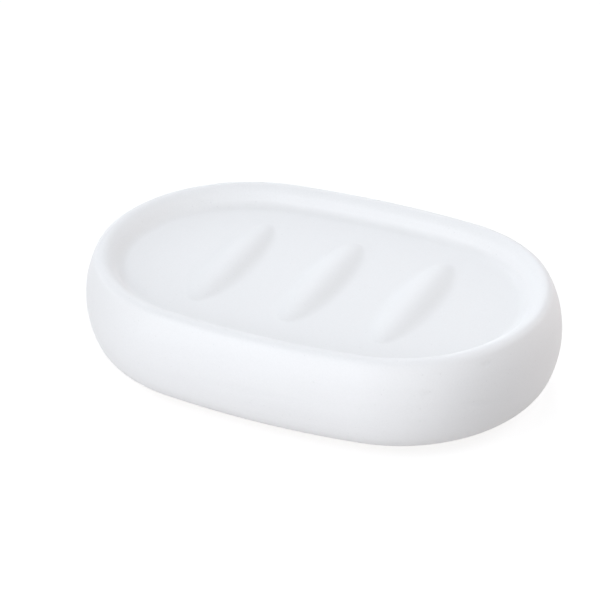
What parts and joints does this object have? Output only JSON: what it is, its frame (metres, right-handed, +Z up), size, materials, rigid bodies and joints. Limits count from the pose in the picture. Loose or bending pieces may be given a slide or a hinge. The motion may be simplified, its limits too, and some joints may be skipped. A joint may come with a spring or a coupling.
{
  "type": "soap dish",
  "caption": "Low oval ceramic soap dish with rounded bulging sides, a shallow tray and raised drain ribs, standing on anti-slip pads.",
  "frame": {"origin": "on the table plane, under the middle of the dish", "axes": "+X along the dish, to the right as the picture sees it; +Y to the rear; +Z up"},
  "size_m": [0.14, 0.0948, 0.0317],
  "materials": {
    "matt_glazed_ceramic": "matt white glaze with fine pinholes, bare clay on the foot ring",
    "clear_silicone": "translucent satin silicone",
    "pad_adhesive": "milky acrylic adhesive"
  },
  "bodies": {
    "root": {"dish_body": "matt_glazed_ceramic", "anti_slip_pad_front_left": "clear_silicone", "pad_adhesive_front_left": "pad_adhesive", "anti_slip_pad_front_right": "clear_silicone", "pad_adhesive_front_right": "pad_adhesive", "anti_slip_pad_rear_left": "clear_silicone", "pad_adhesive_rear_left": "pad_adhesive", "anti_slip_pad_rear_right": "clear_silicone", "pad_adhesive_rear_right": "pad_adhesive"}
  },
  "joints": []
}
